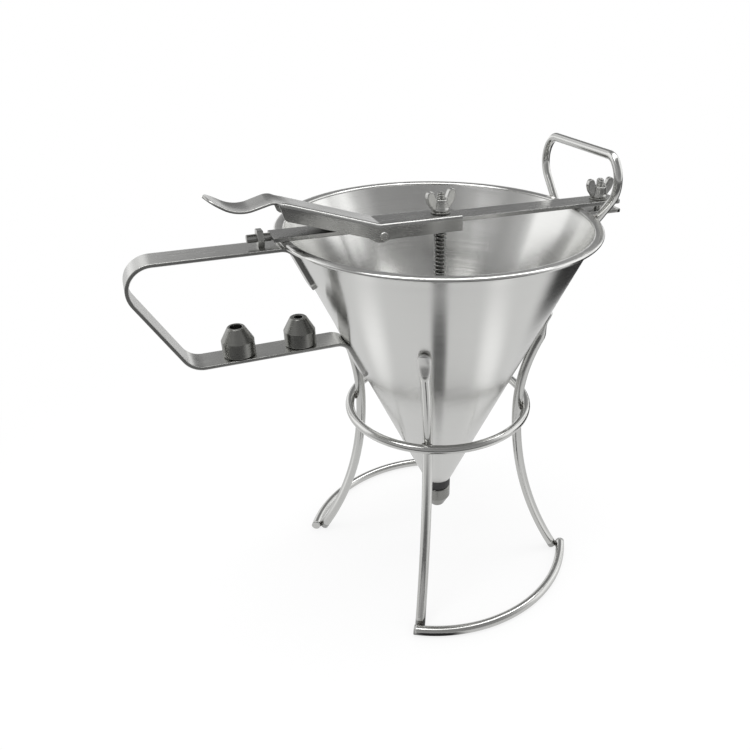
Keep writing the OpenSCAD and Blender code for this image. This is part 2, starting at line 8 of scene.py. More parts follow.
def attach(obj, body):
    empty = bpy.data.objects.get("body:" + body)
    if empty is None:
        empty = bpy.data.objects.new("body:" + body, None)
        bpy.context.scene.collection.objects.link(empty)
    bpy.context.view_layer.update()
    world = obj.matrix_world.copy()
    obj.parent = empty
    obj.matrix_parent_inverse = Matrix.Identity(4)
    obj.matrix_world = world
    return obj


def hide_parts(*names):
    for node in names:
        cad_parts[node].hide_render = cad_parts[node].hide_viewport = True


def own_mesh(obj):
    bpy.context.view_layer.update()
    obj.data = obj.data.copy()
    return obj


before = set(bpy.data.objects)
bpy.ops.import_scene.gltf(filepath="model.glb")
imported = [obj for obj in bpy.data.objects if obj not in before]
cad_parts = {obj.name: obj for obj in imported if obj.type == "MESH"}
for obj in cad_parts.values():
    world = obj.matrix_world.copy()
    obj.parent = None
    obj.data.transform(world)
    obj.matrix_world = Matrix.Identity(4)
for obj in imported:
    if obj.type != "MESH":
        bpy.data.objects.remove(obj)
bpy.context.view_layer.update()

# A hand-held batter dispenser: spun hopper, lever, spring-loaded rod, strip handle and wire stand.
# Sizes are in millimetres, as in the part's source, and become metres where a mesh is made.
scene = bpy.context.scene
MM = 0.001

# ---- Sizes shared by several pieces ----
AXIS = (0.0, 0.0)
# Running gap, and how deep welded pieces sink in
GAP, WELD = 0.3, 0.2
# Hopper, outlet and seal
RIM_Z, RIM_R, RIM_HALF_W, RIM_HALF_H = 248.0, 94.5, 3.0, 1.5
RIM_OUT_R = RIM_R + RIM_HALF_W
MOUTH_R, OUTLET_R, OUTLET_Z, SHEET = 93.0, 10.0, 60.0, 1.0
CONE = atan2(MOUTH_R - OUTLET_R, RIM_Z - OUTLET_Z)
WALL = SHEET / cos(CONE)
STEM_R, SEAL_R, SEAL_H = 6.0, 9.2, 8.0
# Bridge bar and what it carries
BAR_Z, BAR_T, BAR_W, BAR_LEFT, BAR_RIGHT = 249.5, 2.5, 16.0, -101.0, 127.0
BAR_TOP = BAR_Z + BAR_T
PIN_Z = BAR_Z + BAR_T / 2
STUD_X = 114.0
WASHER_T = 1.0
NUT_FOOT = WASHER_T + 0.05
LEVER_T, LEVER_HALF = 1.5, 10.3
LEVER_TOP = BAR_TOP + GAP + LEVER_T
FULCRUM_X, FULCRUM_Z = -39.5, 246.7
# Rod and spring
ROD_R = 2.5
ROD_TOP = LEVER_TOP + 12
# Handle strip and the pegs on its lower run
STRIP_T, STRIP_W, HANDLE_DROP = 2.0, 18.0, 62.0
EYE_HALF = 4.5
STRIP_Z = PIN_Z - EYE_HALF - STRIP_T / 2
RING_Z = 124.0


def cone_r(z):
    """The cone's outer radius at a height."""
    return OUTLET_R + (z - OUTLET_Z) * tan(CONE)


INNER_PEG_X = -cone_r(STRIP_Z - HANDLE_DROP) - 26.0
OUTER_PEG_X = INNER_PEG_X - 35.5


# ---- Outlines, and plane paths of straight runs joined by round bends ----
def spaced(first, last, count):
    """Even steps from first to last."""
    return [first + (last - first) * i / count for i in range(count + 1)]


def smooth_step(x):
    x = max(0.0, min(1.0, x))
    return x * x * (3 - 2 * x)


def bulged(share, power):
    """A sine or cosine made fuller, so that a circle becomes squarer."""
    return copysign(abs(share) ** power, share)


def around(radius, angle, side=0.0):
    """A point at a radius and an angle round the axis, moved sideways."""
    c, s = cos(angle), sin(angle)
    return (radius * c - side * s, radius * s + side * c)


def disc_outline(cx, cy, r, steps=48):
    return [(cx + r * cos(2 * pi * k / steps), cy + r * sin(2 * pi * k / steps)) for k in range(steps)]


def heading(a, b):
    return atan2(b[1] - a[1], b[0] - a[0])


def left_of(h):
    return (-sin(h), cos(h))


def stations(points, radii, run, step=radians(3)):
    """Points and headings along a path that has a round bend at each inner point."""
    line = []

    def straight(a, b, h):
        count = max(1, ceil(dist(a, b) / run))
        line.extend((x, z, h) for x, z in zip(spaced(a[0], b[0], count), spaced(a[1], b[1], count)))

    start = points[0]
    for i in range(1, len(points) - 1):
        h0, h1 = heading(points[i - 1], points[i]), heading(points[i], points[i + 1])
        turn = (h1 - h0 + pi) % (2 * pi) - pi
        reach = radii[i] if turn > 0 else -radii[i]
        back = radii[i] * tan(abs(turn) / 2)
        begin = (points[i][0] - back * cos(h0), points[i][1] - back * sin(h0))
        straight(start, begin, h0)
        cx = begin[0] + reach * left_of(h0)[0]
        cz = begin[1] + reach * left_of(h0)[1]
        steps = max(2, ceil(abs(turn) / step))
        for k in range(1, steps + 1):
            h = h0 + turn * k / steps
            line.append((cx - reach * left_of(h)[0], cz - reach * left_of(h)[1], h))
        start = line[-1][:2]
    straight(start, points[-1], heading(points[-2], points[-1]))
    kept = [line[0]]
    for s in line[1:]:
        if dist(s[:2], kept[-1][:2]) > 1e-4:
            kept.append(s)
    return kept


def rounded(points, radius, steps=4, closed=True):
    """The outline with each corner rounded; a point may carry its own radius as a third number."""
    out = []
    n = len(points)
    for i, p in enumerate(points):
        r = p[2] if len(p) > 2 else radius
        if r <= 0 or (not closed and i in (0, n - 1)):
            out.append((p[0], p[1]))
            continue
        a, b = points[i - 1], points[(i + 1) % n]
        da, db = dist(a[:2], p[:2]), dist(b[:2], p[:2])
        ua = ((a[0] - p[0]) / da, (a[1] - p[1]) / da)
        ub = ((b[0] - p[0]) / db, (b[1] - p[1]) / db)
        half = acos(max(-1, min(1, ua[0] * ub[0] + ua[1] * ub[1]))) / 2
        nearly_straight = abs(pi / 2 - half) < 0.02
        if nearly_straight:
            out.append((p[0], p[1]))
            continue
        most = 0.48  # the share of a side that one corner may take
        cut_back = min(r / tan(half), most * da, most * db)
        pa = (p[0] + ua[0] * cut_back, p[1] + ua[1] * cut_back)
        pb = (p[0] + ub[0] * cut_back, p[1] + ub[1] * cut_back)
        for k in range(steps + 1):
            t = k / steps
            w0, w1, w2 = (1 - t) ** 2, 2 * t * (1 - t), t * t
            out.append((w0 * pa[0] + w1 * p[0] + w2 * pb[0], w0 * pa[1] + w1 * p[1] + w2 * pb[1]))
    return out


# ---- Nodes ----
def add(tree, kind, inputs=None, **settings):
    made = tree.nodes.new(kind)
    for key, value in settings.items():
        setattr(made, key, value)
    for key, value in (inputs or {}).items():
        if isinstance(value, bpy.types.NodeSocket):
            tree.links.new(value, made.inputs[key])
        else:
            made.inputs[key].default_value = value
    return made


def maths(tree, operation, a, b=0.0):
    return add(tree, "ShaderNodeMath", {0: a, 1: b}, operation=operation).outputs[0]


def plus(tree, a, b):
    return maths(tree, "ADD", a, b)


def times(tree, a, b):
    return maths(tree, "MULTIPLY", a, b)


def distance(tree, x, y):
    return maths(tree, "SQRT", plus(tree, times(tree, x, x), times(tree, y, y)))


def ranged(tree, value, start, end, low, high, kind="LINEAR"):
    """The span from start to end mapped on low to high."""
    return add(tree, "ShaderNodeMapRange", {"Value": value, "From Min": start, "From Max": end, "To Min": low,
               "To Max": high}, interpolation_type=kind).outputs[0]


def fade(tree, value, start, end, low, high):
    return ranged(tree, value, start, end, low, high, "SMOOTHSTEP")


def noise(tree, place, scale, detail, rough=0.5):
    return add(tree, "ShaderNodeTexNoise", {"Vector": place, "Scale": scale, "Detail": detail,
               "Roughness": rough}).outputs[0]


def xyz(tree, vector):
    return add(tree, "ShaderNodeSeparateXYZ", {"Vector": vector}).outputs


# ---- Finishes ----
# Nearly all values of a noise lie in this span
NOISE_SPAN = (0.3, 0.7)


def new_material(name):
    material = bpy.data.materials.new(name)
    material.use_nodes = True
    tree = material.node_tree
    return material, tree, tree.nodes["Principled BSDF"], add(tree, "ShaderNodeTexCoord").outputs["Object"]


def grain_vector(tree, lay, lines, drift, centre):
    """Coordinates in which noise lies in long lines, round an upright axis or along a strip."""
    if lay == "strip":
        place = add(tree, "ShaderNodeUVMap", uv_map="lay").outputs["UV"]
    else:
        place = add(tree, "ShaderNodeTexCoord").outputs["Object"]
    x, y, z = xyz(tree, add(tree, "ShaderNodeMapping", {"Vector": place,
                  "Location": (-centre[0] * MM, -centre[1] * MM, 0)}).outputs["Vector"])
    if lay == "round":
        turn = maths(tree, "COSINE", maths(tree, "ARCTAN2", y, x))
        parts = (times(tree, distance(tree, x, y), lines), times(tree, z, lines), times(tree, turn, drift))
    else:
        parts = (times(tree, x, drift), times(tree, y, lines), times(tree, z, lines))
    return add(tree, "ShaderNodeCombineXYZ", dict(zip("XYZ", parts))).outputs[0]


def raised(tree, shader, height, strength, deep):
    bump = add(tree, "ShaderNodeBump", {"Height": height, "Strength": strength, "Distance": deep})
    tree.links.new(bump.outputs[0], shader.inputs["Normal"])


def steel(name, colour, rough, bite, smear, tone, lay=None, lines=0, drift=0, anisotropy=0.0, centre=AXIS):
    """Steel with drawn or turned lines, soft handling marks and a little change of tone."""
    material, tree, shader, place = new_material(name)
    shader.inputs["Metallic"].default_value = 1.0
    shader.inputs["Anisotropic"].default_value = anisotropy
    shader.inputs["Anisotropic Rotation"].default_value = 0.25
    marks = noise(tree, place, scale=38, detail=4, rough=0.6)
    if lay:
        fine = noise(tree, grain_vector(tree, lay, lines, drift, centre), scale=1, detail=5, rough=0.72)
    else:
        fine = noise(tree, place, scale=900, detail=3)
    if anisotropy:
        way = {"direction_type": "UV_MAP", "uv_map": "lay"} if lay == "strip" else {
            "direction_type": "RADIAL", "axis": "Z"}
        tree.links.new(add(tree, "ShaderNodeTangent", **way).outputs[0], shader.inputs["Tangent"])
    grain_smear = 0.035
    soft = ranged(tree, marks, *NOISE_SPAN, rough - smear, rough + smear)
    fine_rough = ranged(tree, fine, *NOISE_SPAN, -grain_smear, grain_smear)
    tree.links.new(plus(tree, soft, fine_rough), shader.inputs["Roughness"])
    tint = add(tree, "ShaderNodeMix", data_type="RGBA", blend_type="MULTIPLY")
    tint.inputs["Factor"].default_value = 1.0
    tint.inputs["A"].default_value = (*colour, 1)
    shade = ranged(tree, plus(tree, marks, fine), 0.7, 1.3, 1 - tone, 1 + tone * 0.6)
    tree.links.new(shade, tint.inputs["B"])
    tree.links.new(tint.outputs["Result"], shader.inputs["Base Color"])
    raised(tree, shader, fine, bite, deep=0.00006)
    return material


def rubber(name, colour, rough):
    material, tree, shader, place = new_material(name)
    marks = noise(tree, place, scale=160, detail=3)
    ramp = add(tree, "ShaderNodeValToRGB", {"Fac": marks})
    for element, position, share in zip(ramp.color_ramp.elements, (0.3, 0.75), (0.7, 1.6)):
        element.position = position
        element.color = (*[c * share for c in colour], 1)
    tree.links.new(ramp.outputs[0], shader.inputs["Base Color"])
    tree.links.new(ranged(tree, marks, 0, 1, rough - 0.08, rough + 0.08), shader.inputs["Roughness"])
    raised(tree, shader, noise(tree, place, scale=1400, detail=3), 0.35, deep=0.0001)
    return material


SHEET_STEEL = steel("spun_sheet_satin", (0.72, 0.72, 0.705), 0.19, bite=0.03, smear=0.015, tone=0.03,
                    lay="round", lines=900, drift=0.6, anisotropy=0.93)
STRIP_STEEL = steel("strip_satin", (0.58, 0.58, 0.565), 0.24, bite=0.08, smear=0.04, tone=0.14,
                    lay="strip", lines=900, drift=16, anisotropy=0.4)
LEVER_STEEL = steel("lever_satin", (0.42, 0.42, 0.41), 0.26, bite=0.10, smear=0.05, tone=0.16,
                    lay="strip", lines=900, drift=16, anisotropy=0.4)
WIRE_STEEL = steel("wire_polished", (0.62, 0.62, 0.605), 0.17, bite=0.02, smear=0.03, tone=0.05)
TURNED = {}


def turned(centre=AXIS, dark=True):
    """Turned steel whose lines run round the piece's own axis."""
    key = (centre, dark)
    if key not in TURNED:
        name, colour, rough = "bright", (0.5, 0.5, 0.485), 0.25
        # The dark kind is darker turned steel; on the rod it is painted shade for the inside of the spring
        if dark:
            name, colour, rough = "dark", (0.30, 0.30, 0.285), 0.27
        TURNED[key] = steel("turned_%s_%d" % (name, len(TURNED)), colour, rough, bite=0.5, smear=0.06,
                            tone=0.12, lay="round", lines=1500, drift=4, centre=centre)
    return TURNED[key]


CAST_STEEL = steel("cast_wing_nut", (0.50, 0.50, 0.485), 0.20, bite=0.30, smear=0.07, tone=0.12)
PAD_STEEL = steel("hammered_pad", (0.70, 0.70, 0.685), 0.36, bite=0.12, smear=0.05, tone=0.06)
WELD_STEEL = steel("heat_tinted_weld", (0.26, 0.25, 0.235), 0.28, bite=0.6, smear=0.10, tone=0.25)
SPRING_STEEL = steel("spring_wire", (0.44, 0.44, 0.43), 0.15, bite=0.05, smear=0.04, tone=0.08)
BLACK_RUBBER = rubber("black_rubber", (0.020, 0.020, 0.021), 0.5)


# ---- Geometry Nodes: sweeps along a path, turned shapes, coils and weld beads ----
WHOLE_NUMBERS = ("Sides", "Steps", "Seed")


def new_tree(name, *sizes):
    tree = bpy.data.node_groups.new(name, "GeometryNodeTree")
    sockets = tree.interface
    sockets.new_socket(name="Geometry", in_out="INPUT", socket_type="NodeSocketGeometry")
    sockets.new_socket(name="Geometry", in_out="OUTPUT", socket_type="NodeSocketGeometry")
    for label in sizes:
        kind = "NodeSocketInt" if label in WHOLE_NUMBERS else "NodeSocketFloat"
        sockets.new_socket(name=label, in_out="INPUT", socket_type=kind)
    sockets.new_socket(name="Finish", in_out="INPUT", socket_type="NodeSocketMaterial")
    return tree, tree.nodes.new("NodeGroupInput").outputs


def close_tree(tree, geometry, finish):
    solid = add(tree, "GeometryNodeRealizeInstances", {"Geometry": geometry}).outputs[0]
    merged = add(tree, "GeometryNodeMergeByDistance", {"Geometry": solid, "Distance": 2e-6}).outputs[0]
    smooth = add(tree, "GeometryNodeSetShadeSmooth", {"Geometry": merged}).outputs[0]
    done = add(tree, "GeometryNodeSetMaterial", {"Geometry": smooth, "Material": finish}).outputs[0]
    tree.links.new(done, tree.nodes.new("NodeGroupOutput").inputs[0])
    return tree


def circle(tree, steps, radius):
    return add(tree, "GeometryNodeCurvePrimitiveCircle", {"Resolution": steps, "Radius": radius}).outputs[0]


def wire_along(tree, curve, given):
    """Round wire along a curve, with closed ends."""
    return add(tree, "GeometryNodeCurveToMesh", {"Curve": curve, "Fill Caps": True, "Profile Curve":
               circle(tree, given["Sides"], given["Wire Radius"])}).outputs[0]


def shifted(tree, geometry, place):
    return add(tree, "GeometryNodeTransform", {"Geometry": geometry, "Translation":
               add(tree, "ShaderNodeCombineXYZ", place).outputs[0]}).outputs[0]


def wire_tree():
    tree, given = new_tree("round_wire", "Wire Radius", "Sides")
    return close_tree(tree, wire_along(tree, given["Geometry"], given), given["Finish"])


def turning_tree():
    """Sweeps the drawn half-section round an upright axis."""
    tree, given = new_tree("turned_shape", "Path Radius", "Steps", "Centre X", "Centre Y")
    path = circle(tree, given["Steps"], given["Path Radius"])
    upright = add(tree, "GeometryNodeSetCurveNormal", {"Curve": path}, mode="Z_UP").outputs[0]
    swept = add(tree, "GeometryNodeCurveToMesh", {"Curve": upright,
                "Profile Curve": given["Geometry"]}).outputs[0]
    moved = shifted(tree, swept, {"X": given["Centre X"], "Y": given["Centre Y"]})
    return close_tree(tree, moved, given["Finish"])


def coil_tree():
    """A helix of wire or thread from a start height, with a chosen rise."""
    tree, given = new_tree("wound_coil", "Turns", "Coil Radius", "Rise", "Start", "Wire Radius", "Sides",
                           "Centre X", "Steps")
    helix = add(tree, "GeometryNodeCurveSpiral", {"Resolution": given["Steps"], "Rotations": given["Turns"],
                "Start Radius": given["Coil Radius"], "End Radius": given["Coil Radius"],
                "Height": given["Rise"]}).outputs[0]
    moved = shifted(tree, wire_along(tree, helix, given), {"X": given["Centre X"], "Z": given["Start"]})
    return close_tree(tree, moved, given["Finish"])


def bead_tree():
    """A small melted bead at each point, a little different from its neighbours."""
    tree, given = new_tree("weld_beads", "Bead Size", "Unevenness", "Seed")
    size = given["Bead Size"]
    ball = add(tree, "GeometryNodeMeshIcoSphere", {"Radius": size, "Subdivisions": 4}).outputs[0]
    grain = add(tree, "ShaderNodeTexNoise", {"Scale": 700, "Detail": 2}).outputs[0]
    push = times(tree, maths(tree, "SUBTRACT", grain, 0.5), times(tree, given["Unevenness"], size))
    normal = add(tree, "GeometryNodeInputNormal").outputs[0]
    shift = add(tree, "ShaderNodeVectorMath", {0: normal, "Scale": push}, operation="SCALE").outputs[0]
    lump = add(tree, "GeometryNodeSetPosition", {"Geometry": ball, "Offset": shift}).outputs[0]

    def drawn(low, high):
        value = add(tree, "FunctionNodeRandomValue", {"Seed": given["Seed"]}, data_type="FLOAT_VECTOR")
        value.inputs["Min"].default_value, value.inputs["Max"].default_value = low, high
        return value.outputs[0]

    spread = add(tree, "GeometryNodeInstanceOnPoints", {
        "Points": given["Geometry"], "Instance": lump, "Rotation": drawn((0, 0, 0), (6.28, 6.28, 6.28)),
        "Scale": drawn((0.8, 0.8, 0.6), (1.15, 1.15, 0.9))}).outputs[0]
    return close_tree(tree, spread, given["Finish"])


WIRE, TURN, COIL, BEAD = wire_tree(), turning_tree(), coil_tree(), bead_tree()


# ---- Making and placing pieces ----
def linked(name, data):
    obj = bpy.data.objects.new(name, data)
    scene.collection.objects.link(obj)
    return obj


def baked(obj):
    """The object with its modifiers worked in, as a plain mesh at the origin."""
    bpy.context.view_layer.update()
    graph = bpy.context.evaluated_depsgraph_get()
    mesh = bpy.data.meshes.new_from_object(obj.evaluated_get(graph), preserve_all_data_layers=True,
                                           depsgraph=graph)
    name, old = obj.name, obj.data
    bpy.data.objects.remove(obj)
    (bpy.data.curves if isinstance(old, bpy.types.Curve) else bpy.data.meshes).remove(old)
    mesh.name = name
    return linked(name, mesh)


def grown(name, base, tree, finish, sizes):
    """Runs a node tree on a drawn base and keeps the result as a plain mesh."""
    obj = linked(name, base)
    modifier = obj.modifiers.new("shape", "NODES")
    modifier.node_group = tree
    values = {**sizes, "Finish": finish}
    for item in tree.interface.items_tree:
        if item.in_out == "INPUT" and item.name in values:
            modifier[item.identifier] = values[item.name]
    return baked(obj)


def outward(obj):
    """Turns the faces of a closed shell outwards."""
    work = bmesh.new()
    work.from_mesh(obj.data)
    bmesh.ops.remove_doubles(work, verts=work.verts, dist=1e-6)
    bmesh.ops.recalc_face_normals(work, faces=work.faces)
    work.to_mesh(obj.data)
    work.free()
    return obj


def even_normals(obj):
    """Lets the large faces set the shading, so that small rounded edges don't smear it."""
    for polygon in obj.data.polygons:
        polygon.use_smooth = True
    modifier = obj.modifiers.new("shading", "WEIGHTED_NORMAL")
    modifier.mode = "FACE_AREA"
    modifier.weight = 60
    return baked(obj)


def drawn_curve(name, points, closed=False):
    data = bpy.data.curves.new(name, "CURVE")
    data.dimensions = "3D"
    line = data.splines.new("POLY")
    line.points.add(len(points) - 1)
    for point, place in zip(line.points, points):
        point.co = (place[0] * MM, place[1] * MM, place[2] * MM, 1)
    line.use_cyclic_u = closed
    return data


def place_piece(obj, body, nodes=(), finish=None):
    if finish:
        obj.data.materials.clear()
        obj.data.materials.append(finish)
    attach(obj, body)
    if nodes:
        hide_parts(*nodes)
    return obj


def turned_shell(name, section, finish, centre=AXIS, closed=True, steps=128):
    """A shell turned round an upright axis from its half-section of radius and height."""
    path_r = 60.0
    base = drawn_curve(name, [(r - path_r, -z, 0) for r, z in section], closed)
    return outward(grown(name, base, TURN, finish, {"Path Radius": path_r * MM, "Steps": steps,
                         "Centre X": centre[0] * MM, "Centre Y": centre[1] * MM}))


def turned_piece(name, section, finish, body, nodes=(), centre=AXIS, closed=True, steps=128):
    shell = even_normals(turned_shell(name, section, finish, centre, closed, steps))
    return place_piece(shell, body, nodes)


def wire_piece(name, points, radius, nodes, body, closed=False):
    obj = grown(name, drawn_curve(name, points, closed), WIRE, WIRE_STEEL,
                {"Wire Radius": radius * MM, "Sides": 28})
    return place_piece(even_normals(outward(obj)), body, nodes)


def coil_piece(name, finish, turns, coil_r, rise, start, wire_r, sides, steps, x=0.0):
    return grown(name, bpy.data.meshes.new(name), COIL, finish, {
        "Turns": turns, "Coil Radius": coil_r * MM, "Rise": rise * MM, "Start": start * MM,
        "Wire Radius": wire_r * MM, "Sides": sides, "Centre X": x * MM, "Steps": steps})


def beads(name, points, size, body, seed):
    base = bpy.data.meshes.new(name)
    base.from_pydata([Vector(p) * MM for p in points], [], [])
    obj = grown(name, base, BEAD, WELD_STEEL, {"Bead Size": size * MM, "Unevenness": 0.35, "Seed": seed})
    return place_piece(obj, body)


def set_lay(mesh, uv_of):
    """Writes the UV map that the grain of a strip runs along."""
    layer = mesh.uv_layers.get("lay") or mesh.uv_layers.new(name="lay")
    for loop in mesh.loops:
        layer.data[loop.index].uv = uv_of(loop.vertex_index)


def lay_along_x(obj):
    def uv_of(index):
        co = obj.data.vertices[index].co
        return (co.x, co.y + 1.7 * co.z)
    set_lay(obj.data, uv_of)
    return obj


def mesh_piece(name, rings, closed_ends=True, uv=None, open_sheet=False):
    """A shell through rings of points, or an open sheet through rows of them."""
    n = len(rings[0])
    faces = [(i * n + k, i * n + (k + 1) % n, (i + 1) * n + (k + 1) % n, (i + 1) * n + k)
             for i in range(len(rings) - 1) for k in range(n - open_sheet)]
    if closed_ends:
        faces.append(tuple(range(n - 1, -1, -1)))
        faces.append(tuple(range((len(rings) - 1) * n, len(rings) * n)))
    mesh = bpy.data.meshes.new(name)
    mesh.from_pydata([Vector(p) * MM for ring in rings for p in ring], [], faces)
    if uv:
        set_lay(mesh, uv.__getitem__)
    return linked(name, mesh)


def in_plane(plane, p, w):
    """A point drawn in a plane, w along the third axis."""
    return {"XY": (p[0], p[1], w), "XZ": (p[0], w, p[1]), "YZ": (w, p[0], p[1])}[plane]


def extruded(name, outline, plane, low, high):
    """An outline drawn in a plane and given thickness along the third axis."""
    return outward(mesh_piece(name, [[in_plane(plane, p, w) for p in outline] for w in (low, high)]))


def turned_level(name, section, plane, centre, closed_ends=True):
    """A shell turned round a level axis, from its half-section of radius and place along the axis."""
    rings = [[in_plane(plane, p, w) for p in disc_outline(*centre, max(r, 0.01))] for r, w in section]
    return even_normals(outward(mesh_piece(name, rings, closed_ends)))


def eased(obj, width, segments=3, angle=35):
    modifier = obj.modifiers.new("edge", "BEVEL")
    modifier.width = width * MM
    modifier.segments = segments
    modifier.limit_method = "ANGLE"
    modifier.angle_limit = radians(angle)
    modifier.harden_normals = False
    return even_normals(baked(obj))


def cut(obj, *tools):
    """Takes closed tool shapes out of a piece."""
    for tool in tools:
        modifier = obj.modifiers.new("hole", "BOOLEAN")
        modifier.operation = "DIFFERENCE"
        modifier.solver = "EXACT"
        modifier.object = tool
    done = baked(obj)
    for tool in tools:
        bpy.data.objects.remove(tool)
    return done


# ---- Hopper ----
def hopper():
    """Outer face, flattened rolled rim and inner face in one half-section."""
    bead_under, bead_inside, flat_sides, flat_top = 1.9, 0.6, 0.75, 0.9
    outer = [(cone_r(z), z) for z in spaced(OUTLET_Z, RIM_Z - bead_under, 24)]
    rim = []
    for degrees in spaced(-118, 172, 32):
        a = radians(degrees)
        c, s = bulged(cos(a), flat_sides), bulged(sin(a), flat_top)
        rim.append((RIM_R + RIM_HALF_W * c, RIM_Z + RIM_HALF_H * s))
    inner = [(cone_r(z) - WALL, z) for z in spaced(RIM_Z - bead_inside, OUTLET_Z, 24)]
    turned_piece("hopper_shell", outer + rim + inner, SHEET_STEEL, "funnel", ["hopper"],
                 steps=288)


# ---- Outlet, seal and nozzles ----
def outlet():
    bore_r, seat_r, stem_len, seat_drop, head_h = 4, 8, 16.5, 2, 4
    low, seat_foot, head = OUTLET_Z - stem_len, OUTLET_Z - seat_drop, OUTLET_Z + head_h
    section = [(bore_r, low), (STEM_R, low, 0.3), (STEM_R, OUTLET_Z, 0),
               (cone_r(OUTLET_Z) - WALL, OUTLET_Z, 0), (cone_r(head) - WALL, head, 0), (seat_r, head, 0.2),
               (bore_r, seat_foot, 0.2)]
    turned_piece("outlet_collar_turned", rounded(section, 0.3), turned(dark=False), "funnel",
                 ["outlet_collar"])
    seal = [(STEM_R, 0, 0.2), (8.4, 0, 0.3), (SEAL_R, 0.8, 0.4), (SEAL_R, SEAL_H, 0.5), (STEM_R, SEAL_H, 0.2)]
    seal = [(r, z + OUTLET_Z - SEAL_H) for r, z in rounded(seal, 0.3)]
    turned_piece("seal_ring_moulded", seal, BLACK_RUBBER, "funnel", ["seal_ring"])


def nozzle_section(bore):
    """Half-section of a nozzle that stands on its thread end."""
    body_r, body_h, full_h, tip_r, thread_r, thread_h = 9.2, 9.0, 17.0, 4.6, 6.05, 9.5
    throat_slope = 0.6
    throat = thread_h + (thread_r - bore) * throat_slope
    return rounded([(thread_r, 0, 0.3), (body_r - 0.5, 0, 0.3), (body_r, 0.5, 0.3), (body_r, body_h, 0.5),
                    (tip_r + 0.45, full_h - 0.4, 0.3), (tip_r, full_h, 0.25), (bore, full_h, 0.3),
                    (bore, throat, 0.2), (thread_r, thread_h, 0.2)], 0.3)


def nozzles():
    top = OUTLET_Z - SEAL_H - GAP
    fine_bore = 1.5
    turned_piece("fitted_nozzle_turned", [(r, top - z) for r, z in nozzle_section(fine_bore)], turned(),
                 "nozzle", ["fitted_nozzle"])
    rest = STRIP_Z - HANDLE_DROP + STRIP_T / 2
    for size, x, bore in (("wide", OUTER_PEG_X, 3.5), ("medium", INNER_PEG_X, 2.5)):
        node = "spare_nozzle_" + size
        section = [(r, rest + GAP + z) for r, z in nozzle_section(bore)]
        turned_piece(node + "_turned", section, turned((x, 0.0)), "spare_" + size, [node],
                     (x, 0.0))
    peg_r, peg_h, tip = 5.7, 8, 0.9
    peg = rounded([(0, 0, 0), (peg_r, 0, 0), (peg_r, peg_h, tip), (0, peg_h, 0)], tip, closed=False)
    for side, x in (("outer", OUTER_PEG_X), ("inner", INNER_PEG_X)):
        turned_piece("nozzle_peg_" + side, [(r, rest + z) for r, z in peg], turned((x, 0.0), False), "funnel",
                     ["nozzle_pegs"], (x, 0.0), closed=False)


# ---- Strips, whose tabs lie on the cone ----
def on_cone(z, thick):
    """Where the middle of a strip's tab lies, on the handle's side."""
    return (-(cone_r(z) + (thick / 2 - WELD) / cos(CONE)), z)


def rolled_to_cone(start, over):
    """Bends a strip's tab to the cone's own curve, where the strip comes near the cone."""
    def hug(x, y, z):
        share = smooth_step((start + (cone_r(z) - abs(x))) / over)
        bent = copysign(sqrt(max(x * x - y * y, 1.0)), x)
        return (x + (bent - x) * share, y, z)
    return hug


def split_long_sides(outline, pieces):
    """More points on the long sides of a section, so that it can take a curve."""
    out = []
    for p, q in zip(outline, outline[1:] + outline[:1]):
        count = pieces if dist(p, q) > 4 else 1
        out += list(zip(spaced(p[0], q[0], count), spaced(p[1], q[1], count)))[:-1]
    return out


def bent_strip(name, line, width, thick, edge, hug):
    half_w, half_t = width / 2, thick / 2
    corners = [(half_w, half_t), (-half_w, half_t), (-half_w, -half_t), (half_w, -half_t)]
    section = split_long_sides(rounded(corners, edge, 3), 8)
    rings, lay, run, last = [], [], 0.0, line[0]
    for x, z, h in line:
        run += dist((x, z), last[:2])
        last = (x, z)
        nx, nz = left_of(h)
        rings.append([hug(x + t * nx, y, z + t * nz) for y, t in section])
        lay += [(run * MM, (y + 1.3 * t) * MM) for y, t in section]
    return even_normals(outward(mesh_piece(name, rings, uv=lay)))


def handle():
    """One strip bent to a loop."""
    reach, tab, slope = 178.0, 27.0, radians(28.6)
    outer_r, lower_r, tab_r = 14.0, 12.0, 8.0
    low_z = STRIP_Z - HANDLE_DROP
    outer_x = -(reach - STRIP_T / 2 - outer_r + outer_r * tan((pi / 2 + slope) / 2))
    lower_x = outer_x + HANDLE_DROP * tan(slope)
    path = [on_cone(STRIP_Z - tab * cos(CONE), STRIP_T), on_cone(STRIP_Z, STRIP_T), (outer_x, STRIP_Z),
            (lower_x, low_z), on_cone(low_z, STRIP_T), on_cone(low_z - tab * cos(CONE), STRIP_T)]
    line = stations(path, [0, tab_r, outer_r, lower_r, tab_r, 0], run=4)
    strip = bent_strip("handle_strip", line, STRIP_W, STRIP_T, 0.45, rolled_to_cone(start=3.2, over=2.6))
    place_piece(strip, "funnel", ["handle"], STRIP_STEEL)


def clamp_lug():
    thick, tab, bend_r, below_rim = 2.5, 18.0, 5, 0.4
    lug_z = RIM_Z - RIM_HALF_H - below_rim - thick / 2
    low = lug_z - tab * cos(CONE)
    path = [(BAR_RIGHT, lug_z), (-on_cone(lug_z, thick)[0], lug_z), (-on_cone(low, thick)[0], low)]
    line = stations(path, [0, bend_r, 0], run=3)
    strip = bent_strip("clamp_lug_strip", line, BAR_W, thick, 0.5, rolled_to_cone(start=4.2, over=3.0))
    place_piece(strip, "funnel", ["clamp_lug"], STRIP_STEEL)


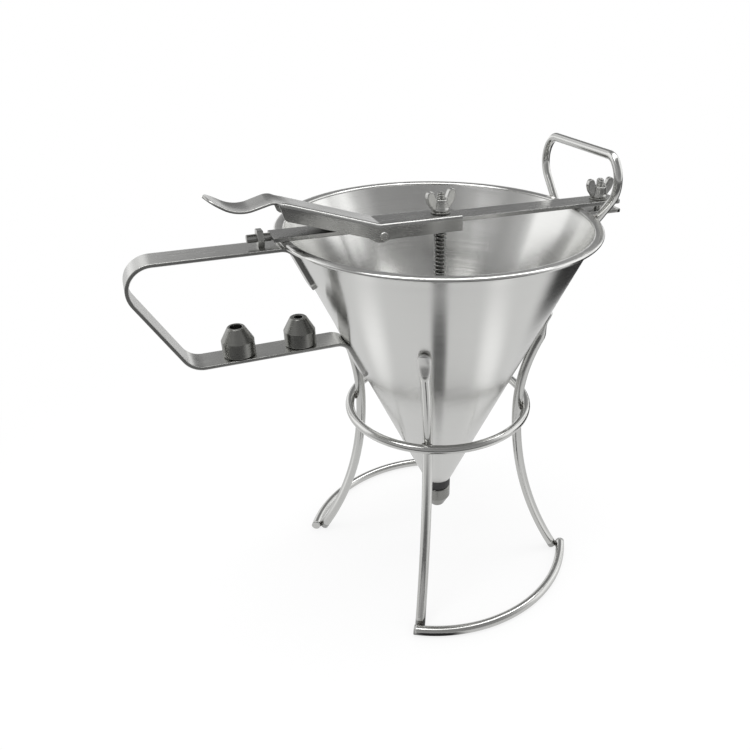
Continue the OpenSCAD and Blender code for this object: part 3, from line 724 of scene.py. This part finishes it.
# ---- Bridge bar with its pin, eye, sleeve and rivet ----
def bridge():
    half, end_r, corner_r, hole_r = BAR_W / 2, 0.8, 3.0, 2.6
    outline = rounded([(BAR_LEFT, -half, end_r), (BAR_RIGHT, -half, corner_r), (BAR_RIGHT, half, corner_r),
                       (BAR_LEFT, half, end_r)], 1, 6)
    bar = extruded("bridge_bar_strip", outline, "XY", BAR_Z, BAR_TOP)
    holes = [extruded("hole", disc_outline(x, 0, hole_r), "XY", BAR_Z - 1, BAR_TOP + 1) for x in (0, STUD_X)]
    bar = lay_along_x(eased(cut(bar, *holes), 0.35))
    place_piece(bar, "funnel", ["bridge_bar"], LEVER_STEEL)
    pin_r, pin_len = 2.25, 13
    section = rounded([(0, 0, 0), (pin_r, 0, 0), (pin_r, pin_len, 0.6), (0, pin_len, 0)], 0.6, closed=False)
    pin = turned_level("bridge_pin_turned", [(r, BAR_LEFT - x) for r, x in section], "YZ", (0, PIN_Z))
    place_piece(pin, "funnel", ["bridge_pin"], turned(dark=False))
    eye_left, eye_right, eye_bore = -108.5, -105.0, 2.3
    hexagon = disc_outline(0, PIN_Z, EYE_HALF / cos(radians(30)), 6)
    eye = extruded("pin_eye_hexagon", rounded(hexagon, 0.5, 3), "YZ", eye_left, eye_right)
    hole = extruded("hole", disc_outline(0, PIN_Z, eye_bore), "YZ", eye_left - 3.5, eye_right + 2)
    place_piece(eased(cut(eye, hole), 0.45), "funnel", ["pin_eye"], CAST_STEEL)


def sleeve_and_rivet():
    fulcrum = (FULCRUM_X, FULCRUM_Z)
    half, bore_r, out_r = BAR_W / 2, 1.55, 3
    sleeve = rounded([(bore_r, -half, 0.2), (out_r, -half, 0.3), (out_r, half, 0.3), (bore_r, half, 0.2)],
                     0.3)
    tube = turned_level("fulcrum_sleeve_tube", sleeve + sleeve[:1], "XZ", fulcrum, closed_ends=False)
    place_piece(tube, "funnel", ["fulcrum_sleeve"], turned(dark=False))
    shank_r, head_r, face_r, head_h = 1.5, 2.8, 2.3, 0.7
    end = -LEVER_HALF - head_h
    near_half = [(0, end, 0), (face_r, end, 0.3), (head_r, -LEVER_HALF, 0.3),
                 (shank_r, -LEVER_HALF + 0.2, 0)]
    rivet = near_half + [(r, -y, soft) for r, y, soft in reversed(near_half)]
    pin = turned_level("lever_rivet", rounded(rivet, 0.3, closed=False), "XZ", fulcrum)
    place_piece(pin, "lever", ["lever_pin"], turned(dark=False))


# ---- Lever: a pressed channel that runs out into a dished thumb plate ----
def channel_outline(wide, depth, fold):
    """The channel's outer face across the lever, from one flange's foot to the other's."""
    side = [(-wide, -depth + (depth - fold) * k / 4) for k in range(4)]
    for k in range(7):
        a = radians(15 * k)
        side.append((-wide + fold * (1 - cos(a)), -fold + fold * sin(a)))
    top = [(-(wide - fold) + 2 * (wide - fold) * k / 10, 0) for k in range(1, 10)]
    return side + top + [(-y, t) for y, t in reversed(side)]


def lever():
    rise, arm, paddle, dip, end = radians(17.5), 61.0, 33.0, 5.0, 10.0
    flange, plate_edge, fold_r, dish_h = 9.0, 1.1, 2.2, 0.9
    lobe_h, lobe_run, fade_lead, fade_run = 1.5, 3.4, 9, 7
    bend = (FULCRUM_X - 1.5, LEVER_TOP)
    crest = (bend[0] - arm * cos(rise), bend[1] + arm * sin(rise))
    hollow = (crest[0] - paddle * 0.55, crest[1] - dip)
    tip = (crest[0] - paddle, crest[1] + dip * 0.75)
    line = stations([(end, LEVER_TOP), bend, crest, hollow, tip], [0, 4.8, 10, 18, 0], 1.6, radians(2))
    runs = [0.0]
    for a, b in zip(line, line[1:]):
        runs.append(runs[-1] + dist(a[:2], b[:2]))
    bend_run = end - bend[0]
    crest_run = bend_run + arm
    rings, lay = [], []
    for (x, z, h), run in zip(line, runs):
        to_tip = runs[-1] - run
        # The flanges deepen at the fulcrum and run out short of the crest
        fade_out = smooth_step((run - (crest_run - fade_lead)) / fade_run)
        depth = flange * (1 - fade_out) + plate_edge * fade_out
        depth += lobe_h * exp(-((run - bend_run) / lobe_run) ** 2)
        # The thumb plate narrows a little and ends in a half round
        wide = LEVER_HALF
        if to_tip <= LEVER_HALF:
            wide = sqrt(max(LEVER_HALF ** 2 - (LEVER_HALF - to_tip) ** 2, 0.15))
        wide = wide * (1 - 0.06 * smooth_step((run - crest_run) / 20))
        dish = dish_h * fade_out * smooth_step(to_tip / 12)
        left = left_of(h)
        nx, nz = -left[0], -left[1]
        outline = channel_outline(wide, depth, min(fold_r, depth * 0.9, wide * 0.8))
        ring, across, previous = [], 0.0, outline[0]
        for y, t in outline:
            across += dist((y, t), previous)
            previous = (y, t)
            sink = dish * (1 - (y / LEVER_HALF) ** 2)
            ring.append((x + (t - sink) * nx, y, z + (t - sink) * nz))
            lay.append((run * MM, across * MM))
        rings.append(ring)
    obj = mesh_piece("lever_sheet", rings, closed_ends=False, uv=lay, open_sheet=True)
    work = bmesh.new()
    work.from_mesh(obj.data)
    bmesh.ops.recalc_face_normals(work, faces=work.faces)
    if max(work.faces, key=lambda f: f.calc_center_median().z).normal.z < 0:
        bmesh.ops.reverse_faces(work, faces=work.faces)
    work.to_mesh(obj.data)
    work.free()
    wall = obj.modifiers.new("wall", "SOLIDIFY")
    wall.thickness = LEVER_T * MM
    wall.offset = -1
    wall.use_even_offset = True
    slot_run, slot_r = 3.0, ROD_R + GAP
    half_turn = spaced(0, pi, 16)
    slot = [(slot_run + slot_r * sin(a), slot_r * cos(a)) for a in half_turn]
    slot += [(-slot_r * sin(a), -slot_r * cos(a)) for a in half_turn]
    obj = cut(baked(obj), extruded("hole", slot, "XY", LEVER_TOP - 4, LEVER_TOP + 4))
    place_piece(eased(obj, 0.28, 2, 50), "lever", ["lever"], LEVER_STEEL)


# ---- Rod, stopper, collar and spring ----
def rod_and_valve():
    foot, neck = 71.04, ROD_R - 0.28
    section = rounded([(0, foot, 0), (ROD_R, foot, 0.3), (ROD_R, BAR_Z - 2, 0), (neck, BAR_Z - 1, 0),
                       (neck, ROD_TOP - 0.7, 0), (ROD_R - 0.9, ROD_TOP, 0.3), (0, ROD_TOP, 0)], 0.3,
                      closed=False)
    # The rod is darkened all along with the dark turned steel: painted shade, standing in for the shade
    # inside the spring
    turned_piece("valve_rod_turned", section, turned(), "valve_rod", ["rod"], closed=False,
                 steps=48)
    thread("rod_thread", 0.0, ROD_TOP - 1.0, "valve_rod")
    stop_z, stop_r, stop_top, straight = 63.04, 7.0, 83.04, 15
    nose_z = stop_z - (stop_r - ROD_R) * 1.5
    stopper = rounded([(0, nose_z, 0), (ROD_R, nose_z, 0.5), (stop_r, stop_z, 0.5),
                       (stop_r, stop_z + straight, 0.8), (ROD_R + 1.2, stop_top, 0.4), (0, stop_top, 0)],
                      0.4, closed=False)
    turned_piece("valve_stopper_turned", stopper, turned(dark=False), "valve_rod",
                 ["valve_stopper"], closed=False)
    low, high, out_r = 163.9, 169.9, 5.5
    collar = rounded([(ROD_R, low), (out_r, low), (out_r, high), (ROD_R, high)], 0.5)
    turned_piece("spring_collar_turned", collar, turned(), "valve_rod", ["spring_collar"],
                 steps=64)


def thread(name, x, high, body):
    """A rolled thread above the bar, as a fine helical ridge on its core."""
    low, pitch, coil_r, ridge_r = BAR_TOP + 4.0, 0.9, ROD_R - 0.26, 0.24
    ridge = coil_piece(name, CAST_STEEL, (high - low) / pitch, coil_r, high - low, low, ridge_r, sides=8,
                       steps=24, x=x)
    place_piece(ridge, body)


def spring():
    wire, coil_r, top, bottom, turns = 0.6, 3.7, BAR_Z - GAP, 170.2, 31.0
    rise = top - bottom - 2 * wire
    obj = coil_piece("spring_coil", SPRING_STEEL, turns, coil_r, rise, bottom + wire, wire, sides=14,
                     steps=28)
    place_piece(obj, "funnel", ["spring"])
    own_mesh(obj)


# ---- Wing nuts, washers and the clamp's stud ----
def wing_nut(name, x, foot, turn_deg, node, body):
    """A hub with two wings, melted together as a casting."""
    bore_r, hub_h, wing_half_t = 2.56, 7.0, 1.45
    hub = [(bore_r, 0), (5.0, 0), (5.0, 1.2), (4.55, 2.0), (4.1, hub_h), (bore_r, hub_h)]
    blade = rounded([(3.2, 0.8, 0.5), (6.0, 0.9, 1.8), (9.4, 4.8, 3), (10.7, 8.6, 2.4), (9.9, 12.1, 2.4),
                     (6.2, 12.1, 2.2), (4.4, 8.2, 2.0), (3.2, 6.8, 0.4)], 1, 6)
    parts = [turned_shell(name + "_hub", hub, CAST_STEEL, steps=64)]
    for half_turns in (0, 1):
        wing = extruded(name + "_wing", blade, "XZ", -wing_half_t, wing_half_t)
        if half_turns:
            wing.data.transform(Matrix.Rotation(pi, 4, "Z"))
        parts.append(wing)
    work = bmesh.new()
    for part in parts:
        work.from_mesh(part.data)
        bpy.data.objects.remove(part)
    mesh = bpy.data.meshes.new(name)
    work.to_mesh(mesh)
    work.free()
    obj = linked(name, mesh)
    melt = obj.modifiers.new("melt", "REMESH")
    melt.mode = "VOXEL"
    melt.voxel_size = 0.26 * MM
    soften = obj.modifiers.new("soften", "SMOOTH")
    soften.factor = 0.5
    soften.iterations = 5
    obj = baked(obj)
    place = Matrix.Translation((x * MM, 0, foot * MM))
    obj.data.transform(place @ Matrix.Rotation(radians(turn_deg), 4, "Z"))
    for polygon in obj.data.polygons:
        polygon.use_smooth = True
    place_piece(obj, body, [node], CAST_STEEL)


def washer(name, node, x, z, body):
    bore_r, out_r = 2.55, 6
    section = rounded([(bore_r, z), (out_r, z), (out_r, z + WASHER_T), (bore_r, z + WASHER_T)], 0.25)
    turned_piece(name, section, turned((x, 0.0)), body, [node], (x, 0.0), steps=64)


def fasteners():
    wing_nut("rod_wing_nut_cast", 0.0, LEVER_TOP + GAP + NUT_FOOT, 14, "rod_wing_nut", "rod_nut")
    wing_nut("clamp_wing_nut_cast", STUD_X, BAR_TOP + NUT_FOOT, 5, "clamp_wing_nut", "clamp_nut")
    washer("rod_washer_flat", "rod_washer", 0.0, LEVER_TOP + GAP, "valve_rod")
    washer("clamp_washer_flat", "clamp_washer", STUD_X, BAR_TOP, "funnel")
    foot, top, shank_r, core_r = 244.85, BAR_TOP + 13, 2.5, 2.25
    stud = rounded([(0, foot, 0), (shank_r, foot, 0.3), (shank_r, BAR_TOP + 1, 0), (core_r, BAR_TOP + 1.4, 0),
                    (core_r, top - 0.6, 0), (1.7, top, 0.3), (0, top, 0)], 0.3, closed=False)
    turned_piece("clamp_stud_turned", stud, turned((STUD_X, 0.0), False), "funnel",
                 ["clamp_stud"], (STUD_X, 0.0), closed=False, steps=48)
    thread("stud_thread", STUD_X, top - 1.0, "funnel")


# ---- Wire loop ----
def wire_loop():
    """The loop stands where the wire of the part's source touches the rim at its middle height."""
    wire_r, foot, drop, source_half, source_h = 2.65, 18, 9, 44, 22
    crossing = foot + (source_half - foot) * drop / (source_h + drop)
    loop_x = sqrt((RIM_OUT_R + wire_r - WELD) ** 2 - crossing ** 2)
    side = [(foot, -drop), (45.5, 23), (33, 38.5)]
    path = side + [(-y, z) for y, z in reversed(side)]
    line = stations(path, [0, 17.5, 9, 9, 17.5, 0], run=5)
    wire = [(loop_x, y, RIM_Z + z) for y, z, _ in line]
    wire_piece("wire_loop_bent", wire, wire_r, ["wire_loop"], "funnel")
    bead_y, bead_r = 25.5, 97.2
    bead_x = bead_r * cos(asin(bead_y / RIM_OUT_R))
    spots = [(bead_x, s * bead_y, RIM_Z + dz) for s in (1, -1) for dz in (-1.2, 0.6)]
    beads("loop_welds", spots, 1.3, "funnel", 3)


# ---- Stand ----
def stand():
    ring_wire, leg_r, base_wire, top_bend, flare = 2.9, 3.3, 3.2, 130.0, radians(32)
    pad_len, pad_w, pad_t, pad_run, pad_square = 19.0, 8.0, 2.6, 13, 0.22
    overrun, foot_rise, leg_turn, sides = 1.9, 0.4, -31.0, 32
    leg_turns = [radians(leg_turn + 90 * k) for k in range(4)]
    pad_z = RING_Z + top_bend * sin(CONE)
    waist = cone_r(pad_z) + (leg_r + GAP) / cos(CONE) - top_bend * (1 - cos(CONE))
    ring_r = waist + leg_r + ring_wire - WELD
    foot_z = leg_r * sin(flare) + foot_rise
    low_bend = (RING_Z - foot_z) / sin(flare)
    foot_r = waist + low_bend * (1 - cos(flare))
    edge = foot_z + leg_r * sin(flare) - base_wire
    base_r = foot_r + leg_r * cos(flare) + sqrt((base_wire - WELD) ** 2 - edge ** 2)

    ring = [(*around(ring_r, a), RING_Z) for a in map(radians, spaced(0, 360, 192)[:-1])]
    wire_piece("stand_ring_wire", ring, ring_wire, ["stand_ring"], "stand", closed=True)
    for side, first in (("front", leg_turn - 90), ("rear", leg_turn + 90)):
        begin = first - overrun
        angles = [radians(begin + (90 + 2 * overrun) * k / 72) for k in range(73)]
        wire_piece(side + "_base_wire", [(*around(base_r, a), base_wire) for a in angles], base_wire,
                   [side + "_base_arc"], "stand")

    # A leg's sections: centre, heading, half thickness, half width, offset and fullness, from the foot up
    sections = []
    for k in range(25):
        a = flare * (1 - k / 24)
        sections.append((waist + low_bend * (1 - cos(a)), RING_Z - low_bend * sin(a),
                         pi / 2 + a, leg_r, leg_r, 0.0, 1.0))
    for k in range(1, 15):
        a = CONE * k / 14
        sections.append((waist + top_bend * (1 - cos(a)), RING_Z + top_bend * sin(a),
                         pi / 2 - a, leg_r, leg_r, 0.0, 1.0))
    start_x, start_z = sections[-1][:2]
    for k in range(1, 41):
        # The wire's end is hammered to a flat pad on the cone, and the last quarter of its tip thins
        d = pad_len * (1 - (1 - k / 40) ** 1.6)
        flat = smooth_step(d / pad_run)
        tip = max(0.0, (d - (pad_len - pad_w / 2)) / (pad_w / 2))
        half_t = leg_r + (pad_t / 2 - leg_r) * flat
        half_w = (leg_r + (pad_w / 2 - leg_r) * flat) * sqrt(max(1 - tip * tip, 0.004))
        thin = 1 - 0.45 * max(0.0, tip - 0.75) / 0.25
        sections.append((start_x + d * sin(CONE), start_z + d * cos(CONE), pi / 2 - CONE,
                         half_t * thin, half_w, leg_r - half_t, 1 - pad_square * flat))
    pad_low = start_z + 3.0
    for name, a in zip(("right_leg", "back_leg", "left_leg", "front_leg"), leg_turns):
        rings = []
        for x, z, h, half_t, half_w, offset, power in sections:
            nx, nz = left_of(h)
            ring = []
            for k in range(sides):
                w = 2 * pi * k / sides
                out = offset + half_t * bulged(cos(w), power)
                side = half_w * bulged(sin(w), power)
                ring.append((*around(x + out * nx, a, side), z + out * nz))
            rings.append(ring)
        leg = even_normals(outward(mesh_piece(name + "_wire", rings)))
        place_piece(leg, "stand", [name], WIRE_STEEL)
        leg.data.materials.append(PAD_STEEL)
        for polygon in leg.data.polygons:
            polygon.material_index = 1 if polygon.center.z > pad_low * MM else 0

    weld_r, beside = waist + leg_r - 0.3, 2.4
    spots = [(*around(weld_r, a, side * beside), RING_Z + dz)
             for a in leg_turns for side in (-1, 1) for dz in (-1.3, 1.2)]
    beads("ring_welds", spots, 1.15, "stand", 7)
    weld_r, beside, weld_z = foot_r + leg_r * cos(flare) - 0.1, 1.9, 3.9
    spots = [(*around(weld_r, a, side * beside), weld_z - 0.9 * abs(side))
             for a in leg_turns for side in (-1, 0, 1)]
    beads("foot_welds", spots, 1.2, "stand", 11)


hopper()
outlet()
nozzles()
handle()
bridge()
sleeve_and_rivet()
lever()
rod_and_valve()
spring()
fasteners()
clamp_lug()
wire_loop()
stand()


# ---- Floor, light and camera ----
# The level direction from the object to the camera
FRONT = (-0.4127, -0.9109)


def ahead_and_aside(tree, x, y):
    """How far a place lies towards the camera, and how far to the camera's left."""
    return (plus(tree, times(tree, x, FRONT[0]), times(tree, y, FRONT[1])),
            maths(tree, "SUBTRACT", times(tree, x, FRONT[1]), times(tree, y, FRONT[0])))


def mixed(tree, share, first, second):
    return add(tree, "ShaderNodeMixShader", {0: share, 1: first, 2: second}).outputs[0]


def floor():
    half = 6.0
    mesh = bpy.data.meshes.new("pale_floor")
    corners = [(-half, -half, 0), (half, -half, 0), (half, half, 0), (-half, half, 0)]
    mesh.from_pydata(corners, [], [(0, 1, 2, 3)])
    material = bpy.data.materials.new("pale_floor")
    material.use_nodes = True
    tree = material.node_tree
    tree.nodes.clear()
    path = add(tree, "ShaderNodeLightPath").outputs
    x, y, _ = xyz(tree, add(tree, "ShaderNodeTexCoord").outputs["Object"])
    ahead, aside = ahead_and_aside(tree, x, y)

    def spot(centre_ahead, centre_aside, long, wide):
        """Distance from the middle of an oval patch of the floor, 1 at its edge."""
        u = maths(tree, "DIVIDE", maths(tree, "SUBTRACT", ahead, centre_ahead), long)
        v = maths(tree, "DIVIDE", maths(tree, "SUBTRACT", aside, centre_aside), wide)
        return distance(tree, u, v)

    # Painted reflection, seen only by polished steel: for glossy rays the floor glows with two painted pools
    # of light, a narrow painted dark lane in front of the object, a painted dark corner behind it on the
    # right, and painted dark beyond the front
    level, pool = 0.76, (0.2, 1.2, 0.42, 0.0)
    painted_light_pools = plus(tree, fade(tree, spot(0.035, 0.165, 0.075, 0.045), *pool),
                 fade(tree, spot(0.060, -0.138, 0.085, 0.042), *pool))
    painted_dark_lane = fade(tree, spot(0.128, -0.001, 0.066, 0.028), 0.5, 1.0, 0.0, 1.0)
    painted_dark_corner = maths(tree, "MAXIMUM", fade(tree, aside, -0.265, -0.210, 0.0, 1.0),
                   fade(tree, ahead, -0.11, -0.02, 0.0, 1.0))
    painted_dark_front = fade(tree, ahead, 0.21, 0.31, 1.0, 0.14)
    painted_reflection_level = times(tree, times(tree, plus(tree, painted_light_pools, level), painted_dark_lane), times(tree, painted_dark_front, painted_dark_corner))
    white = (1, 1, 1, 1)
    plain = add(tree, "ShaderNodeBsdfDiffuse", {"Color": (0.86, 0.86, 0.86, 1)}).outputs[0]
    glow = add(tree, "ShaderNodeEmission", {"Color": white, "Strength": 1.0}).outputs[0]
    # The floor's glow for glossy rays is painted reflection, not a lamp
    painted_reflection = add(tree, "ShaderNodeEmission", {"Color": white, "Strength": painted_reflection_level}).outputs[0]
    # The camera sees the floor's shadow near the object, and white further out
    clear = fade(tree, distance(tree, x, y), 0.12, 0.45, 0.80, 1.0)
    base = mixed(tree, times(tree, path["Is Camera Ray"], clear), plain, glow)
    surface = mixed(tree, times(tree, path["Is Glossy Ray"], 0.97), base, painted_reflection)
    tree.links.new(surface, add(tree, "ShaderNodeOutputMaterial").inputs["Surface"])
    mesh.materials.append(material)
    linked("pale_floor", mesh)


# The screens round the object: degrees from the camera's side towards its left, and the light level there
SCREENS = ((-180, 0.24), (-150, 0.40), (-136, 1.45), (-124, 0.85), (-112, 1.50), (-98, 1.15), (-88, 1.40),
           (-74, 0.62), (-56, 0.33), (-24, 0.29), (6, 0.33), (25, 0.41), (60, 0.41), (78, 0.54), (86, 0.72),
           (92, 1.3), (120, 1.3), (128, 0.70), (136, 0.70), (146, 1.1), (160, 0.36), (180, 0.24))


def studio_light():
    world = bpy.data.worlds.new("studio")
    scene.world = world
    world.use_nodes = True
    tree = world.node_tree
    tree.nodes.clear()
    path = add(tree, "ShaderNodeLightPath").outputs
    x, y, z = xyz(tree, add(tree, "ShaderNodeTexCoord").outputs["Generated"])
    ahead, aside = ahead_and_aside(tree, x, y)

    # Polished steel sees grey screens in front and behind, bright ones at both sides and a white horizon
    turn = plus(tree, maths(tree, "DIVIDE", maths(tree, "ARCTAN2", aside, ahead), 2 * pi), 0.5)
    screens = add(tree, "ShaderNodeValToRGB", {"Fac": turn})
    stops = screens.color_ramp.elements
    screens.color_ramp.interpolation = "EASE"
    stops[0].position, stops[1].position = 0.0, 1.0
    stops[0].color, stops[1].color = [(level, level, level, 1) for _, level in (SCREENS[0], SCREENS[-1])]
    for degrees, level in SCREENS[1:-1]:
        stops.new(degrees / 360 + 0.5).color = (level, level, level, 1)
    white_low = times(tree, fade(tree, z, 0.04, 0.22, 1.0, 0.0), fade(tree, ahead, -0.2, 0.5, 1.0, 0.25))
    glare = times(tree, white_low, fade(tree, ahead, -0.5, -0.2, 0.35, 0.0))
    screen_top = (0.60, 0.85)
    overhead = plus(tree, fade(tree, z, *screen_top, 0.0, 0.24), fade(tree, z, 0.90, 0.97, 0.0, 0.66))
    screen = plus(tree, times(tree, screens.outputs[0], fade(tree, z, *screen_top, 1.0, 0.0)), overhead)
    above_horizon = times(tree, screen, maths(tree, "SUBTRACT", 1.0, white_low))
    brightness = plus(tree, plus(tree, above_horizon, white_low), glare)

    def sky(strength):
        return add(tree, "ShaderNodeBackground", {"Color": (1, 1, 1, 1), "Strength": strength}).outputs[0]

    lit = mixed(tree, path["Is Glossy Ray"], sky(1.0), sky(brightness))
    surface = mixed(tree, path["Is Camera Ray"], lit, sky(1.0))
    tree.links.new(surface, add(tree, "ShaderNodeOutputWorld").inputs["Surface"])
    middle = Vector((0, 0, 0.18))
    for name, place, wide, tall, power in (("left_softbox", (-0.62, -0.10, 1.45), 0.5, 0.7, 4.0),
                                           ("right_softbox", (0.62, 0.10, 1.45), 0.5, 0.7, 4.0),
                                           ("top_softbox", (0.0, 0.0, 1.8), 0.9, 0.7, 5.0)):
        lamp = bpy.data.lights.new(name, "AREA")
        lamp.shape = "RECTANGLE"
        lamp.size, lamp.size_y = wide, tall
        lamp.energy = power
        obj = linked(name, lamp)
        obj.rotation_euler = (middle - Vector(place)).to_track_quat("-Z", "Y").to_euler()
        obj.location = place


def camera():
    data = bpy.data.cameras.new("photo_view")
    data.sensor_fit = "HORIZONTAL"
    data.sensor_width = 36.0
    data.lens = 33.39
    data.shift_x, data.shift_y = -0.1117, 0.0215
    data.clip_start, data.clip_end = 0.01, 50
    obj = linked("photo_view", data)
    obj.location = (-0.1697, -0.3754, 0.3702)
    turn, rise, roll = 1.1124, -0.5259, 0.0283
    ahead = Vector((cos(rise) * cos(turn), cos(rise) * sin(turn), sin(rise)))
    right = ahead.cross(Vector((0, 0, 1))).normalized()
    up = right.cross(ahead)
    leant = right * cos(roll) + up * sin(roll)
    obj.rotation_euler = Matrix((leant, ahead.cross(leant) * -1, ahead * -1)).transposed().to_euler()
    scene.camera = obj


floor()
studio_light()
camera()
scene.view_settings.view_transform = "Standard"
